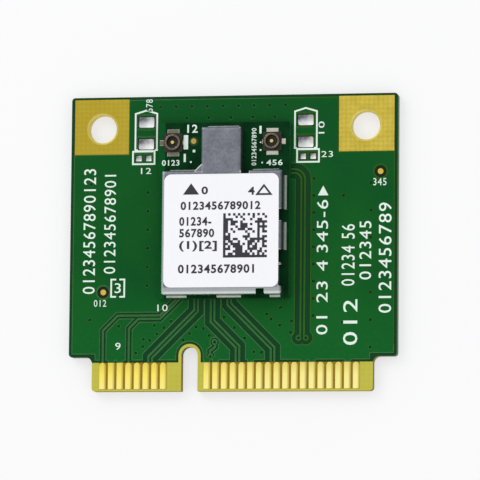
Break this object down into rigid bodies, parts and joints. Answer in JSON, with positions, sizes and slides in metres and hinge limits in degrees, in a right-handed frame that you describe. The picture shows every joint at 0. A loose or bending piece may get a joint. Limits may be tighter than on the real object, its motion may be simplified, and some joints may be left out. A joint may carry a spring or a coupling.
{
  "type": "mini pcie wifi module",
  "caption": "Half-size expansion card: a keyed circuit board with edge contacts, two plated mounting holes, and a radio module under a T-shaped metal shield with two antenna sockets.",
  "frame": {"origin": "centre of the board outline, on the lowest face of the underside", "axes": "+X across the width with the longer row of edge contacts on the +X side of the key notch, +Y away from the edge contacts towards the mounting holes, +Z out of the component side"},
  "size_m": [0.03, 0.0268, 0.003],
  "materials": {
    "laminate": "bare yellowish glass-fibre laminate",
    "copper": "copper foil under the mask",
    "green_mask": "semi-gloss green solder mask",
    "dark_green_mask": "semi-gloss dark green solder mask",
    "gold_contacts": "hard gold plating",
    "gold_pads": "flat thin gold plating",
    "solder": "satin solder",
    "white_ink": "printed white ink",
    "module_laminate": "cut laminate edge",
    "shield_metal": "satin tinned sheet",
    "label_film": "matte white label",
    "socket_metal": "satin plating",
    "dark_moulding": "dark moulded polymer",
    "chip_moulding": "black moulding compound",
    "light_ceramic": "unglazed ceramic",
    "brown_ceramic": "fired ceramic",
    "ferrite": "grey ferrite",
    "lid_metal": "thin nickel-plated lid"
  },
  "bodies": {
    "root": {"carrier_board": "laminate", "front_copper": "copper", "back_copper": "copper", "plated_vias": "copper", "front_mask": "green_mask", "back_mask": "green_mask", "front_contacts": "gold_contacts", "back_contacts": "gold_contacts", "mounting_pads": "gold_pads", "barrel_plating": "gold_pads", "fiducials": "gold_pads", "solder_lands": "solder", "silkscreen": "white_ink", "module_joints": "solder", "module_board": "module_laminate", "module_lands": "gold_pads", "module_mask": "dark_green_mask", "module_silkscreen": "white_ink", "shield_can": "shield_metal", "shield_solder": "solder", "shield_label": "label_film", "socket_shells": "socket_metal", "socket_insulators": "dark_moulding", "socket_pins": "gold_pads", "radio_chip": "chip_moulding", "memory_chip": "chip_moulding", "front_end_chips": "chip_moulding", "crystal_base": "light_ceramic", "crystal_lid": "lid_metal", "power_inductor": "ferrite", "antenna_filters": "light_ceramic", "capacitors": "brown_ceramic", "capacitor_ends": "solder", "resistors": "chip_moulding", "resistor_ends": "solder", "chip_solder": "solder"}
  },
  "joints": []
}
